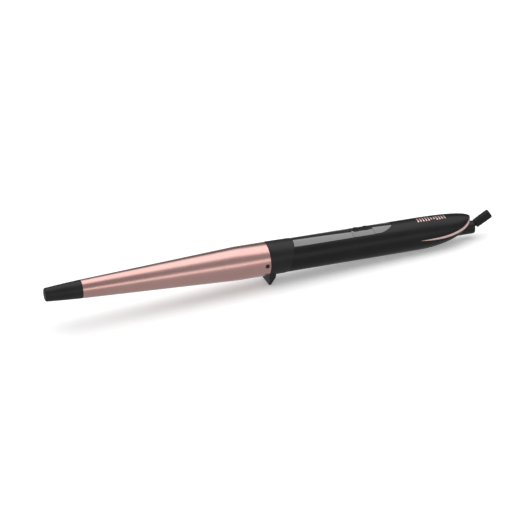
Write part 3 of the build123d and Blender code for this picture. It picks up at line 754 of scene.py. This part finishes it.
bars = ornament.node("GeometryNodeRealizeInstances", {}, {0: placed})
handle_surface = ornament.node("GeometryNodeObjectInfo", {}, {0: ornament.given("Handle")}, "Geometry")
corner_place = ornament.node("GeometryNodeInputPosition", {}, {})
ray = ornament.node(
    "GeometryNodeRaycast",
    {},
    {
        "Target Geometry": handle_surface,
        "Source Position": corner_place,
        "Ray Direction": (0.0, 0.0, -1.0),
        "Ray Length": 1.0,
    },
).node
height = ornament.node("ShaderNodeSeparateXYZ", {}, {0: corner_place}).node.outputs[2]
start_height = ornament.node("ShaderNodeSeparateXYZ", {}, {0: ornament.given("Start")}).node.outputs[2]
is_top = ornament.node("ShaderNodeMath", {"operation": "GREATER_THAN"}, {0: height, 1: start_height})
share = ornament.node("ShaderNodeMath", {"operation": "MULTIPLY_ADD"}, {0: is_top, 1: 2.0, 2: -1.0})
lift = ornament.node("ShaderNodeMath", {"operation": "MULTIPLY"}, {0: share, 1: ornament.given("Stand")})
raised = ornament.node(
    "ShaderNodeVectorMath",
    {"operation": "SCALE"},
    {0: ray.outputs["Hit Normal"], "Scale": lift},
)
on_surface = ornament.node(
    "ShaderNodeVectorMath", {"operation": "ADD"}, {0: ray.outputs["Hit Position"], 1: raised}
)
hugging = ornament.node("GeometryNodeSetPosition", {}, {"Geometry": bars, "Position": on_surface})
ornament.finish(hugging)
print("the ornament tree has", len(ornament.tree.nodes), "nodes")

# %% [markdown]
# The row starts just behind the trim's points and lies a little to the -Y side of the top.
# Each bar stands 0.04 mm proud of the handle and as deep inside it, so its edges never gape.

# %% The ornament
mark_count = 11
mark_start = tail_start + 1.6 * mm
mark_pitch = 2.2 * mm
mark_side = -1.4 * mm
bar_size = (0.95 * mm, 5.2 * mm, 0.2 * mm)
mark = bpy.data.objects.new("tail_mark", bpy.data.meshes.new("tail_mark"))
scene.collection.objects.link(mark)
ornament.run(
    mark,
    Count=mark_count,
    Start=(mark_start, mark_side, axis_height + 2 * handle_radius),
    Step=(mark_pitch, 0.0, 0.0),
    Bar=bar_size,
    Seed=3,
    Stand=0.04 * mm,
    Handle=bpy.data.objects["handle_upper_moulded"],
    Material=finish["rose_gold_trim"],
)
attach(mark, "handle")
print("ornament:", len(mark.data.polygons), "faces")

# %% [markdown]
# ## The floor, the lights and the camera
# The wand rests on its foot and on the underside of its tail, so the floor leans a little to
# touch both. A long softbox overhead makes the bright line along the barrel and the even grey
# in the gloss panel. A low card in front fills the side, and a broad soft sun lights the floor.
# The floor glows a little, so that shadows stay light. Reflections don't see it: they see the
# room, which is brighter below than above and dark low down behind the wand, where the gloss
# panel needs something dark to reflect.

# %% Floor
rest_slope = radians(2.97)
floor_size = 8.0
floor_mesh = bpy.data.meshes.new("floor")
half = floor_size / 2
rise = half * tan(rest_slope)
floor_mesh.from_pydata(
    [(-half, -half, -rise), (half, -half, rise), (half, half, rise), (-half, half, -rise)],
    [],
    [(0, 1, 2, 3)],
)
floor = bpy.data.objects.new("floor", floor_mesh)
scene.collection.objects.link(floor)


def pale_floor():
    """A painted table top, white with a barely visible mottle."""
    r = Recipe("pale_floor")
    mottle = r.noise(60 * mm, 3)
    r.set(
        Base_Color=r.mix(mottle, (0.90, 0.90, 0.90), (0.93, 0.93, 0.93)),
        Roughness=mottle * 0.1 + 0.75,
        Normal=r.bump(r.noise(2 * mm, 4), 0.1, 0.02 * mm),
    )
    r.set(Emission_Color=(1.0, 1.0, 1.0), Emission_Strength=0.28)
    return r.material


floor_mesh.materials.append(pale_floor())
floor.visible_glossy = False
print("floor leans", round(rest_slope / pi * 180, 2), "degrees")

# %% [markdown]
# A light is placed from the wand and aimed at it. The softbox overhead is long, so that its
# reflection runs the whole length of the barrel, and a little behind, so that the gloss panel
# mirrors it towards the camera. The sun is so broad that its shadow has no edge.

# %% Lights
middle = Vector((0, 0, axis_height))


def aimed(place, target):
    """A matrix that stands something at a place, looking at a target."""
    turn = (target - place).to_track_quat("-Z", "Y").to_matrix().to_4x4()
    return Matrix.Translation(place) @ turn


def softbox(name, place, size, strength):
    """A rectangular lamp that looks at the wand."""
    lamp = bpy.data.lights.new(name, "AREA")
    lamp.shape = "RECTANGLE"
    lamp.size, lamp.size_y = size
    lamp.energy = strength
    holder = bpy.data.objects.new(name, lamp)
    holder.matrix_world = aimed(middle + Vector(place), middle)
    scene.collection.objects.link(holder)


softbox("overhead_box", (0.10, 0.21, 0.68), (2.0, 0.80), 6.0)
softbox("front_card", (0.10, -1.20, 0.30), (1.8, 0.34), 2.2)

sun = bpy.data.lights.new("room_light", "SUN")
sun.energy = 0.9
sun.angle = radians(100)
sun_holder = bpy.data.objects.new("room_light", sun)
sun_holder.matrix_world = aimed(Vector((-0.15, 0.45, 1.0)), Vector((0, 0, 0)))
sun_holder.visible_glossy = False
scene.collection.objects.link(sun_holder)
print("a softbox overhead, a card in front and a broad sun")

# %% [markdown]
# The room gives light from every direction by two rules. It dims from 0.42 below to 0.30 above,
# and it loses up to three quarters of that low down behind the wand. Both rules are made of
# smooth changes along Y or Z of the direction, multiplied together.

# %% The room's light
world = bpy.data.worlds.new("room")
scene.world = world
world.use_nodes = True
shades = world.node_tree
shades.nodes["Background"].inputs["Color"].default_value = (1, 1, 1, 1)
direction = shades.nodes.new("ShaderNodeTexCoord").outputs["Generated"]
apart = shades.nodes.new("ShaderNodeSeparateXYZ")
shades.links.new(direction, apart.inputs[0])


def eased(value, low, high, first, last):
    """A smooth change from first to last while a value goes from low to high."""
    change = shades.nodes.new("ShaderNodeMapRange")
    change.interpolation_type = "SMOOTHSTEP"
    for name, number in zip(("From Min", "From Max", "To Min", "To Max"), (low, high, first, last)):
        change.inputs[name].default_value = number
    shades.links.new(value, change.inputs["Value"])
    return change.outputs["Result"]


def combined(a, b, operation="MULTIPLY"):
    """Two shades multiplied, or joined by another sum."""
    join = shades.nodes.new("ShaderNodeMath")
    join.operation = operation
    for socket, value in zip(join.inputs, (a, b)):
        if isinstance(value, float):
            socket.default_value = value
        else:
            shades.links.new(value, socket)
    return join.outputs[0]


by_height = eased(apart.outputs["Z"], 0.0, 0.45, 0.42, 0.30)
behind = eased(apart.outputs["Y"], 0.10, 0.45, 0.0, 1.0)
below_the_box = eased(apart.outputs["Z"], 0.55, 0.80, 0.75, 0.0)
above_the_floor = eased(apart.outputs["Z"], -0.10, 0.10, 0.0, 1.0)
lost = combined(behind, combined(below_the_box, above_the_floor))
room_light = combined(by_height, combined(1.0, lost, "SUBTRACT"))
shades.links.new(room_light, shades.nodes["Background"].inputs["Strength"])
scene.view_settings.view_transform = "Standard"
print("the room's light has", len(shades.nodes), "nodes")

# %% [markdown]
# The camera stands in front, a little to the tip's side and raised. It is far off and its lens is
# long, so that the wand hardly narrows with distance.

# %% Camera
azimuth, elevation = radians(-19.88), radians(27.23)
distance = 1.3425
aim = Vector((-0.0012, 0, 0.0133))
back = Vector((sin(azimuth) * cos(elevation), -cos(azimuth) * cos(elevation), sin(elevation)))
lens = bpy.data.cameras.new("camera")
lens.lens = 123.7
camera = bpy.data.objects.new("camera", lens)
camera.matrix_world = aimed(aim + back * distance, aim)
scene.collection.objects.link(camera)
scene.camera = camera
print("camera", round(distance, 2), "m away with a", round(lens.lens), "mm lens")
